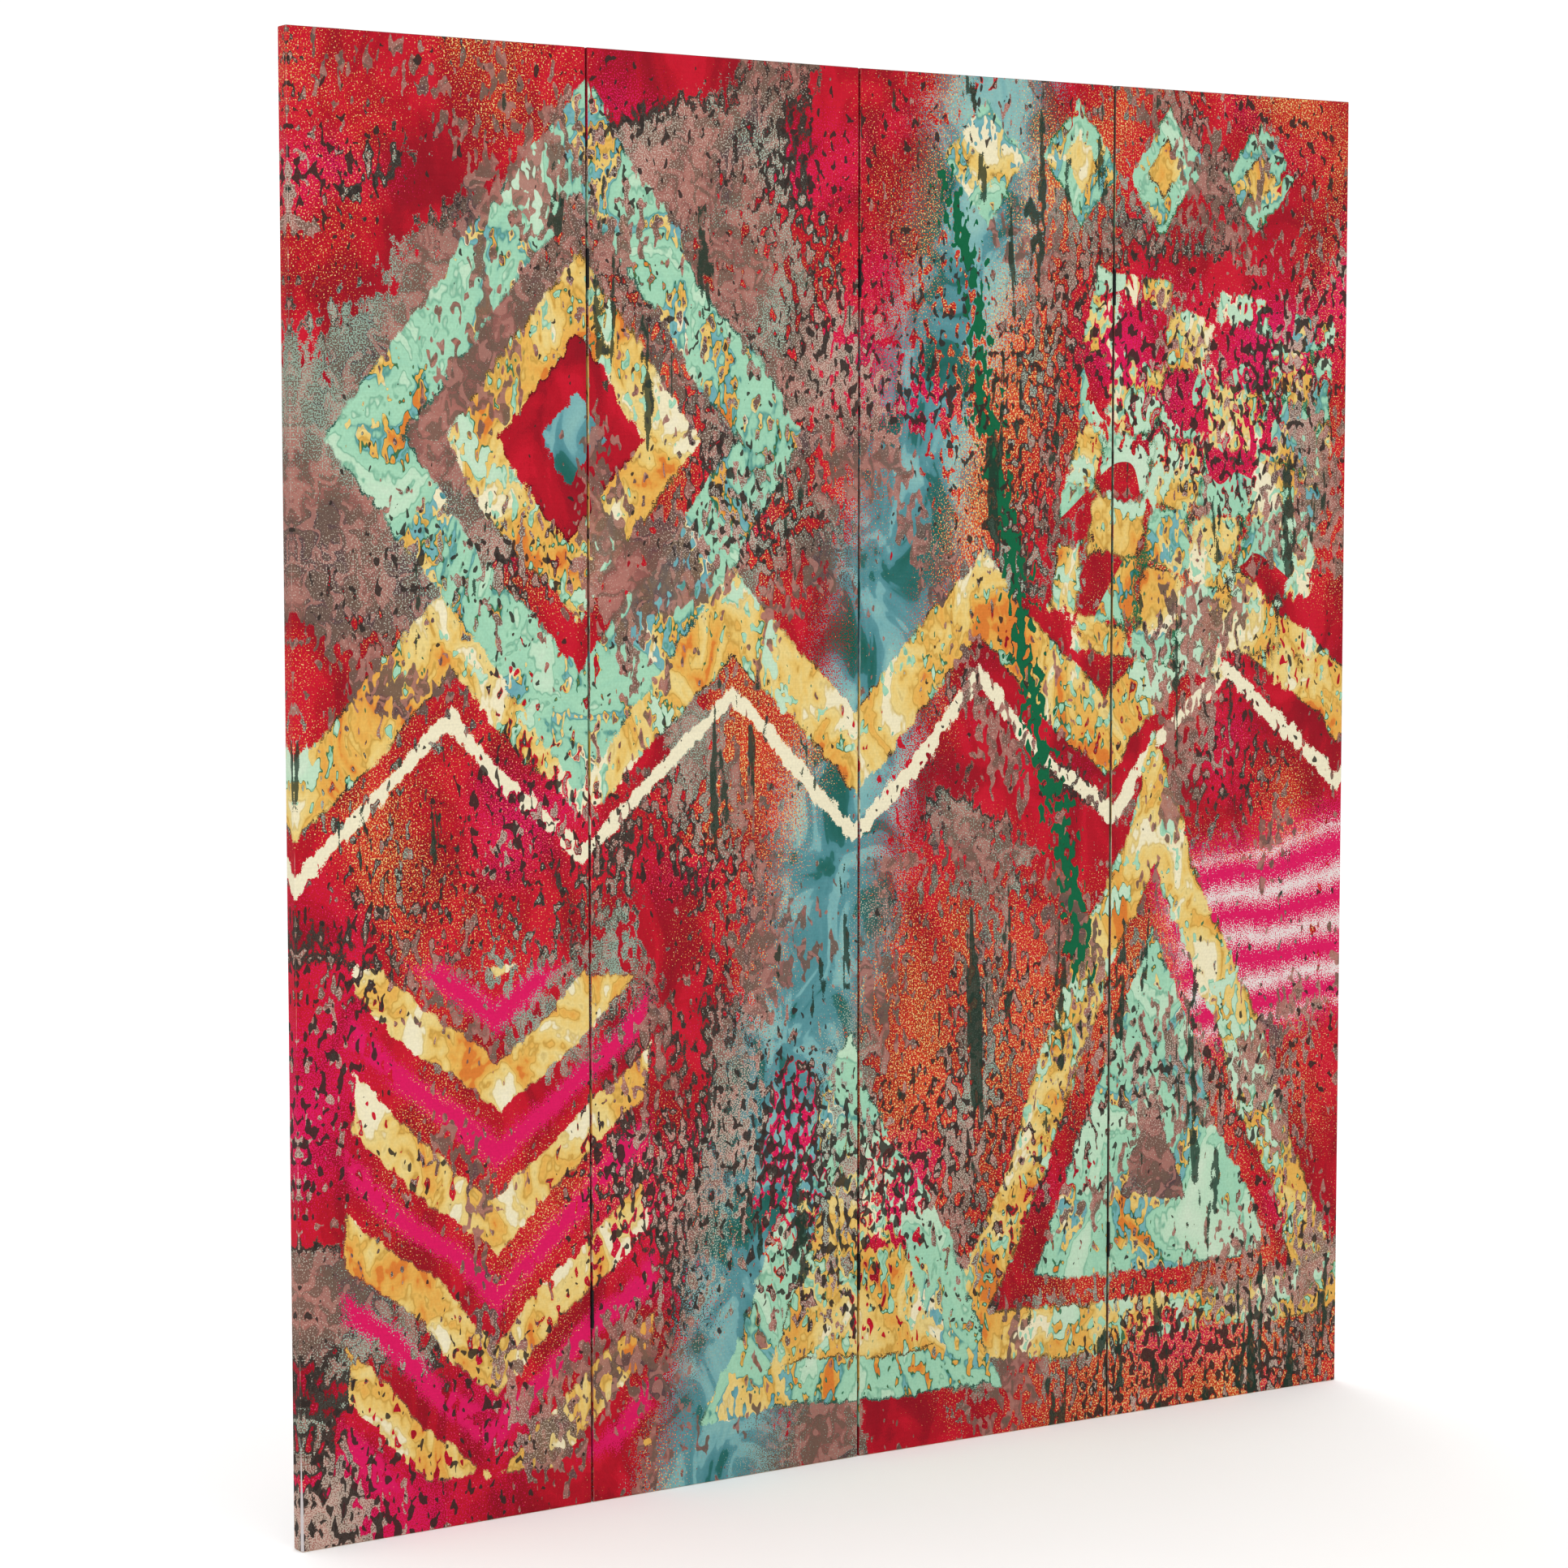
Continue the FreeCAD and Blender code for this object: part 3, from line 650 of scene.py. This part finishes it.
def front_cloth(n):
    cloth = Cloth()
    low_z = 0.25
    xs = stations(0.0, WIDE, 9.0, (LIP, WIDE - LIP, 38.5, WIDE - 38.5))
    ys = stations(-DEEP / 2, DEEP / 2 - CLOTH, 4.4)
    zs = stations(low_z, TALL, 9.0, (LIP, TALL - LIP, TALL / 2, 38.5, TALL - 38.5))
    box_low = np.array([0.0, -DEEP / 2, low_z])
    box_high = np.array([WIDE, DEEP / 2 - CLOTH, TALL])
    outer, inner, flats = {}, {}, {}
    left_edge = (n - 1) * PITCH

    def corner(i, j, k):
        key = (i, j, k)
        if key not in outer:
            p = np.array([xs[i], ys[j], zs[k]])
            core = np.clip(p, box_low + ROUND, box_high - ROUND)
            way = p - core
            way = way / np.linalg.norm(way)
            out = core + way * ROUND
            if j == 0:
                out[1] += float(slack(n, p[0], p[2]))
            edge = np.sort(np.minimum(p - box_low, box_high - p))[1]
            wear = float(np.clip(1 - edge / 3.5, 0, 1))
            # a pale strip at the foot of the first panel's left front edge
            bare = 0.0
            if n == 1 and p[2] < 140 and p[0] < 4.5 and p[1] < -6:
                reach = 3.4 * (1 - p[2] / 140.0)
                far = max(p[0], p[1] + DEEP / 2)
                bare = float(np.clip(0.5 + (reach - far) * 0.5, 0, 1))
            # painted shade: a dark line along the top front edge of every panel
            painted_shade = 1.0 if j == 0 and k == len(zs) - 1 else 0.0
            # painted shade deep in panel 4's left side, darkening the third gap between the panels
            if n == 4 and i == 0 and j > 0:
                painted_shade = 0.85
            outer[key] = cloth.point(out, wear, bare, painted_shade)
            inner[key] = cloth.point(out - way * CLOTH)
            flats[key] = p
        return key

    def quad(keys, face):
        ids = [outer[k] for k in keys]
        backs = [inner[k] for k in keys]
        prints, bakes = [], []
        mid_z = sum(flats[k][2] for k in keys) / 4
        for k in keys:
            x, y, z = flats[k]
            depth = y + DEEP / 2
            z_here = z
            # a face of the upper strip keeps to its own strip
            z_bake = max(z, TALL / 2) if mid_z >= TALL / 2 else min(z, TALL / 2 - 1e-6)
            if face == "front":
                prints.append((x, z))
                bakes.append(bake_face(x, z_bake))
            elif face in ("left", "right"):
                shift = 0.0 if n == 1 and face == "left" else 58.0
                prints.append((shift + depth if face == "left" else WIDE - shift - depth, z + shift / 2))
                bakes.append(bake_side(face == "right", depth, z_bake))
            elif face in ("top", "bottom"):
                prints.append((x, TALL - depth if face == "top" else depth))
                bakes.append(bake_end(face == "top", x, depth))
            else:
                prints.append((x + DEEP if x < WIDE / 2 else x - DEEP, z_here))
                bakes.append(bake_hidden(x, z))
        prints = [((left_edge + a) * MM, b * MM) for a, b in prints]
        cloth.face(ids, prints, bakes, 0)
        hidden = [bake_hidden(flats[k][0], flats[k][2]) for k in keys]
        cloth.face(backs[::-1], prints[::-1], hidden[::-1], 1)

    ni, nj, nk = len(xs), len(ys), len(zs)
    for i in range(ni - 1):
        for k in range(nk - 1):
            quad([corner(i, 0, k), corner(i + 1, 0, k), corner(i + 1, 0, k + 1), corner(i, 0, k + 1)], "front")
    for j in range(nj - 1):
        for k in range(nk - 1):
            quad([corner(0, j + 1, k), corner(0, j, k), corner(0, j, k + 1), corner(0, j + 1, k + 1)], "left")
            quad([corner(ni - 1, j, k), corner(ni - 1, j + 1, k), corner(ni - 1, j + 1, k + 1), corner(ni - 1, j, k + 1)], "right")
    for i in range(ni - 1):
        for j in range(nj - 1):
            quad([corner(i, j, nk - 1), corner(i + 1, j, nk - 1), corner(i + 1, j + 1, nk - 1), corner(i, j + 1, nk - 1)], "top")
            quad([corner(i, j + 1, 0), corner(i + 1, j + 1, 0), corner(i + 1, j, 0), corner(i, j, 0)], "bottom")
    # the lip on the back, open in the middle, with its cut edge closed
    b = nj - 1

    def in_lip(i, k):
        x, z = (xs[i] + xs[i + 1]) / 2, (zs[k] + zs[k + 1]) / 2
        return x < LIP or x > WIDE - LIP or z < LIP or z > TALL - LIP

    for i in range(ni - 1):
        for k in range(nk - 1):
            if not in_lip(i, k):
                continue
            quad([corner(i + 1, b, k), corner(i, b, k), corner(i, b, k + 1), corner(i + 1, b, k + 1)], "lip")
            for di, dk, one, two in (
                (1, 0, (i + 1, k + 1), (i + 1, k)),
                (-1, 0, (i, k), (i, k + 1)),
                (0, 1, (i, k + 1), (i + 1, k + 1)),
                (0, -1, (i + 1, k), (i, k)),
            ):
                a, c = i + di, k + dk
                if 0 <= a < ni - 1 and 0 <= c < nk - 1 and not in_lip(a, c):
                    p, q = (one[0], b, one[1]), (two[0], b, two[1])
                    ids = [outer[p], outer[q], inner[q], inner[p]]
                    flat = [flats[p], flats[q], flats[q], flats[p]]
                    place = [((left_edge + f[0]) * MM, f[2] * MM) for f in flat]
                    cloth.face(ids, place, [bake_hidden(f[0], f[2]) for f in flat], 1)

    # folded corners: the spare cloth lies over the end of the panel as a three-cornered flap
    for top in (True, False):
        for right in (False, True):
            flap(cloth, top, right, left_edge)
    return cloth.build("panel_%d_front_cloth" % n, n, [front_print, raw])


def flap(cloth, top, right, left_edge):
    """A three-cornered fold, 0.4 mm proud of the end of the panel, thin at its edges."""
    a, b, c = np.array([1.0, -DEEP / 2 + 1.2]), np.array([1.0, DEEP / 2 - 1.6]), np.array([21.5, DEEP / 2 - 1.6])
    steps, proud = 10, 0.42
    level = TALL if top else 0.25
    sign = 1 if top else -1
    high = proud if top else 0.25
    grid, under = {}, {}
    for i in range(steps + 1):
        for j in range(steps + 1 - i):
            w = (i / steps, j / steps)
            p = a + (b - a) * w[0] + (c - a) * w[1]
            edge = min(i, j, steps - i - j) / steps
            lift = high * min(1.0, edge * 9.0) if edge > 0 else 0.0
            x = WIDE - p[0] if right else p[0]
            grid[i, j] = (cloth.point((x, p[1], level + sign * lift)), x, p[1])
            under[i, j] = (cloth.point((x, p[1], level - sign * 0.12)), x, p[1])

    def tri(keys, table, flip, mat):
        pts = [table[k] for k in keys]
        if flip:
            pts = pts[::-1]
        prints = [((left_edge + q[1]) * MM, (TALL - (q[2] + DEEP / 2) if top else q[2] + DEEP / 2) * MM) for q in pts]
        bakes = [bake_end(top, q[1], q[2] + DEEP / 2) for q in pts]
        cloth.face([q[0] for q in pts], prints, bakes, mat)

    turned = top == right
    for i in range(steps):
        for j in range(steps - i):
            tri([(i, j), (i + 1, j), (i, j + 1)], grid, not turned, 0)
            tri([(i, j), (i + 1, j), (i, j + 1)], under, turned, 1)
            if i + j < steps - 1:
                tri([(i + 1, j), (i + 1, j + 1), (i, j + 1)], grid, not turned, 0)
                tri([(i + 1, j), (i + 1, j + 1), (i, j + 1)], under, turned, 1)
    rim = [(i, 0) for i in range(steps + 1)] + [(steps - j, j) for j in range(1, steps + 1)] + [(0, steps - j) for j in range(1, steps)]
    for k, one in enumerate(rim):
        two = rim[(k + 1) % len(rim)]
        pts = [grid[one], grid[two], under[two], under[one]]
        if not turned:
            pts = pts[::-1]
        prints = [((left_edge + q[1]) * MM, (TALL - (q[2] + DEEP / 2) if top else q[2] + DEEP / 2) * MM) for q in pts]
        cloth.face([q[0] for q in pts], prints, [bake_end(top, q[1], q[2] + DEEP / 2) for q in pts], 0)


INSET, HEM = 1.5, 12.0


def back_cloth(n):
    """The sheet on the back: its edges are turned under, and the turned edge shows as a low ridge."""
    cloth = Cloth()
    xs = np.unique(np.concatenate([
        [INSET, INSET + 0.25, INSET + 0.8, INSET + 2, INSET + 6, INSET + HEM - 1.2, INSET + HEM, INSET + HEM + 1.5],
        np.linspace(INSET + 22, WIDE - INSET - 22, 40),
        WIDE - np.array([INSET, INSET + 0.25, INSET + 0.8, INSET + 2, INSET + 6, INSET + HEM - 1.2, INSET + HEM, INSET + HEM + 1.5]),
    ]))
    zs = np.unique(np.concatenate([
        [INSET, INSET + 0.25, INSET + 0.8, INSET + 2, INSET + 6, INSET + HEM - 1.2, INSET + HEM, INSET + HEM + 1.5],
        np.linspace(INSET + 22, TALL - INSET - 22, 181),
        TALL - np.array([INSET, INSET + 0.25, INSET + 0.8, INSET + 2, INSET + 6, INSET + HEM - 1.2, INSET + HEM, INSET + HEM + 1.5]),
    ]))
    left_edge = (4 - n) * PITCH
    outer, inner = {}, {}
    base = DEEP / 2 - CLOTH
    for i, x in enumerate(xs):
        for k, z in enumerate(zs):
            edge = min(x - INSET, WIDE - INSET - x, z - INSET, TALL - INSET - z)
            top = base + CLOTH * min(1.0, 0.25 + edge / 0.6) if edge < 0.6 else base + CLOTH
            ridge = 0.32 * float(smooth(np.array(edge / 1.2))) * float(smooth(np.array((HEM + 1.5 - edge) / 2.7)))
            sag = 0.3 * float(smooth(np.array((edge - 30) / 70))) + 0.05 * math.sin(0.011 * z + n) * float(smooth(np.array(edge / 40)))
            # a stitch of puckers along the ridge
            pucker = 0.06 * math.sin(2 * math.pi * (z + x) / 31.0 + n) * math.exp(-(((edge - HEM) / 5.0) ** 2))
            wear = float(np.clip(1 - edge / 3.5, 0, 1)) * 0.8
            outer[i, k] = cloth.point((x, top + ridge - sag * 0.4 + pucker, z), wear)
            inner[i, k] = cloth.point((x, base + 0.02, z))

    def spot(i, k):
        return ((left_edge + WIDE - xs[i]) * MM, zs[k] * MM)

    half = len(zs) // 2
    for i in range(len(xs) - 1):
        for k in range(len(zs) - 1):
            keys = [(i + 1, k), (i, k), (i, k + 1), (i + 1, k + 1)]
            upper = zs[k] + zs[k + 1] >= TALL
            bakes = []
            for q in keys:
                z = max(zs[q[1]], TALL / 2) if upper else min(zs[q[1]], TALL / 2 - 1e-6)
                bakes.append(bake_face(xs[q[0]], z))
            place = [spot(*q) for q in keys]
            cloth.face([outer[q] for q in keys], place, bakes, 0)
            hidden = [bake_hidden(xs[q[0]], zs[q[1]]) for q in keys]
            cloth.face([inner[q] for q in keys][::-1], place[::-1], hidden[::-1], 1)
    ni, nk = len(xs) - 1, len(zs) - 1
    ring = [(i, 0) for i in range(ni)] + [(ni, k) for k in range(nk)] + [(i, nk) for i in range(ni, 0, -1)] + [(0, k) for k in range(nk, 0, -1)]
    for one, two in zip(ring, ring[1:] + ring[:1]):
        keys = [one, two]
        place = [spot(*one), spot(*two), spot(*two), spot(*one)]
        bakes = [bake_face(xs[q[0]], min(zs[q[1]], TALL / 2 - 1e-6) if zs[one[1]] + zs[two[1]] < TALL else max(zs[q[1]], TALL / 2)) for q in (one, two, two, one)]
        cloth.face([outer[one], inner[one], inner[two], outer[two]][::-1], place, bakes, 0)
    return cloth.build("panel_%d_back_cloth" % n, n, [back_print, raw])


for n in (1, 2, 3, 4):
    p = "panel_%d_" % n
    ob = front_cloth(n)
    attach(ob, "panel_%d" % n)
    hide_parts(p + "front_canvas")
    ob = back_cloth(n)
    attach(ob, "panel_%d" % n)
    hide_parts(p + "back_canvas")


# ---- timber, dowels, staples and hinges -----------------------------------------------------


def in_place(net):
    n = net.node("ShaderNodeTexCoord")
    return n.outputs["Object"]


def timber(name, along, tones):
    """Planed softwood: growth rings drawn out along the piece, and pores."""
    net = Net(name)
    place = in_place(net)
    long, fine, pore = [46.0] * 3, [420.0] * 3, [900.0] * 3
    long[along], fine[along], pore[along] = 1.6, 6.0, 40.0
    rings = net.noise(place, long, (1.0, 2.0, 3.0), 3.0, 0.55, bend=1.2, flat=False)
    lines = net.noise(place, fine, (4.0, 1.0, 7.0), 2.0, 0.6, flat=False)
    pores = net.noise(place, pore, (2.0, 5.0, 1.0), 1.0, 0.5, flat=False)
    band = net.math("PINGPONG", rings * 5.0, 0.5) * 2.0
    colour = net.ramp(net.madd(lines, 0.35, band * 0.65), tones)
    colour = net.mix(colour, (118, 82, 50), net.remap(pores, 0.64, 0.72, 0.0, 0.5))
    rough = net.remap(lines, 0.3, 0.7, 0.55, 0.75)
    return net.surface(
        colour, rough, net.bump(net.madd(lines, 0.6, pores), 0.3, 0.0004), Specular_IOR_Level=0.35,
    )


pine = [(0.15, (232, 204, 156)), (0.45, (218, 180, 126)), (0.7, (196, 150, 96)), (0.95, (170, 120, 72))]
beech = [(0.15, (222, 184, 140)), (0.5, (204, 160, 114)), (0.9, (176, 130, 88))]
upright_wood = timber("softwood_upright", 2, pine)
level_wood = timber("softwood_level", 0, pine)
dowel_wood = timber("dowel_wood", 0, beech)


def metal(name, tones, worn, rough, gloss, metallic):
    """Lacquer or zinc over steel: faint orange peel, scuffs and rubbed spots."""
    net = Net(name)
    place = in_place(net)
    mottle = net.noise(place, (260.0, 260.0, 260.0), (1.0, 2.0, 3.0), 3.0, 0.55, flat=False)
    scuff = net.noise(place, (900.0, 900.0, 120.0), (6.0, 1.0, 2.0), 3.0, 0.6, flat=False)
    peel = net.noise(place, (1800.0, 1800.0, 1800.0), (3.0, 8.0, 1.0), 1.0, 0.5, flat=False)
    colour = net.ramp(mottle, tones)
    colour = net.mix(colour, worn, net.remap(scuff, 0.66, 0.76, 0.0, 0.55))
    shine = net.remap(net.madd(scuff, 0.5, mottle * 0.5), 0.35, 0.65, rough[0], rough[1])
    return net.surface(
        colour, shine, net.bump(net.madd(peel, 0.5, scuff), 0.25, 0.00012),
        Specular_IOR_Level=gloss, Metallic=metallic,
    )


black = metal("hinge_lacquer", [(0.3, (8, 8, 9)), (0.5, (12, 12, 13)), (0.7, (19, 18, 18))], (50, 48, 46), (0.48, 0.66), 0.15, 0.0)
zinc = metal("staple_wire", [(0.3, (150, 152, 154)), (0.5, (176, 178, 180)), (0.7, (196, 197, 198))], (120, 112, 100), (0.3, 0.5), 0.5, 1.0)

for name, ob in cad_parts.items():
    if ob.hide_render:
        continue
    if name.endswith("_stile"):
        m = upright_wood
    elif name.endswith("_rail"):
        m = level_wood
    elif name.endswith("_dowels"):
        m = dowel_wood
    elif name.endswith("_staples"):
        m = zinc
    else:
        m = black
    if not ob.material_slots:
        ob.data.materials.append(m)
    for s in ob.material_slots:
        s.material = m


# ---- floor, light and camera ------------------------------------------------------------------


def studio_floor():
    """A pale round sweep: level underfoot, rising far out in a wide curve on every side."""
    reach, curve, turns = 6.0, 6.5, 96
    rings = [(r, 0.0) for r in (1.5, 3.0, 4.5, reach)]
    for k in range(1, 31):
        out = 6.0 * k / 30
        rings.append((reach + out, curve - math.sqrt(curve * curve - out * out)))
    points, faces = [(0.0, 0.0, 0.0)], []
    for r, z in rings:
        for k in range(turns):
            a = 2 * math.pi * k / turns
            points.append((r * math.cos(a), r * math.sin(a), z))
    for k in range(turns):
        faces.append((0, 1 + k, 1 + (k + 1) % turns))
    for q in range(len(rings) - 1):
        for k in range(turns):
            one, two = 1 + q * turns, 1 + (q + 1) * turns
            faces.append((one + k, two + k, two + (k + 1) % turns, one + (k + 1) % turns))
    me = bpy.data.meshes.new("floor")
    me.from_pydata(points, [], faces)
    for f in me.polygons:
        f.use_smooth = True
    net = Net("floor_paper")
    place = in_place(net)
    cloud = net.noise(place, (0.8, 0.8, 0.8), (1.0, 1.0, 1.0), 3.0, 0.5, flat=False)
    tooth = net.noise(place, (300.0, 300.0, 300.0), (2.0, 1.0, 4.0), 2.0, 0.5, flat=False)
    colour = net.ramp(cloud, [(0.3, (244, 244, 243)), (0.7, (249, 249, 249))])
    me.materials.append(net.surface(colour, net.remap(tooth, 0.3, 0.7, 0.85, 0.95), Specular_IOR_Level=0.2))
    ob = bpy.data.objects.new("floor", me)
    bpy.context.scene.collection.objects.link(ob)


def panel_light(name, at, towards, size, power):
    data = bpy.data.lights.new(name, "AREA")
    data.shape = "RECTANGLE"
    data.size, data.size_y = size
    data.energy = power
    ob = bpy.data.objects.new(name, data)
    ob.location = at
    ob.rotation_euler = (Vector(towards) - Vector(at)).to_track_quat("-Z", "Y").to_euler()
    ob.visible_camera = False
    bpy.context.scene.collection.objects.link(ob)


studio_floor()
panel_light("key", (0.9, -4.8, 3.1), (0.1, 0.0, 0.9), (3.2, 2.6), 45.0)
panel_light("fill", (-4.4, -3.6, 2.1), (-0.3, 0.0, 0.9), (2.6, 2.6), 75.0)
panel_light("back", (1.4, 4.6, 3.2), (0.0, 0.0, 0.9), (3.0, 2.4), 50.0)
world = bpy.data.worlds.new("studio")
world.use_nodes = True
world.node_tree.nodes["Background"].inputs["Color"].default_value = (1.0, 1.0, 1.0, 1.0)
world.node_tree.nodes["Background"].inputs["Strength"].default_value = 1.12
bpy.context.scene.world = world
bpy.context.scene.view_settings.view_transform = "Standard"
bpy.context.scene.view_settings.look = "None"

camera = bpy.data.cameras.new("camera")
camera.lens = 85.439
camera.sensor_width = 36.0
camera.clip_end = 100.0
eye = bpy.data.objects.new("camera", camera)
right = Vector((0.843589856, -0.536987845, -0.000457902)).normalized()
up = Vector((0.04238495, 0.06573521, 0.99693651)).normalized()
back = right.cross(up)
eye.matrix_world = Matrix(
    (
        (right.x, up.x, back.x, -2.653425),
        (right.y, up.y, back.y, -3.994179),
        (right.z, up.z, back.z, 1.259039),
        (0.0, 0.0, 0.0, 1.0),
    )
)
bpy.context.scene.collection.objects.link(eye)
bpy.context.scene.camera = eye
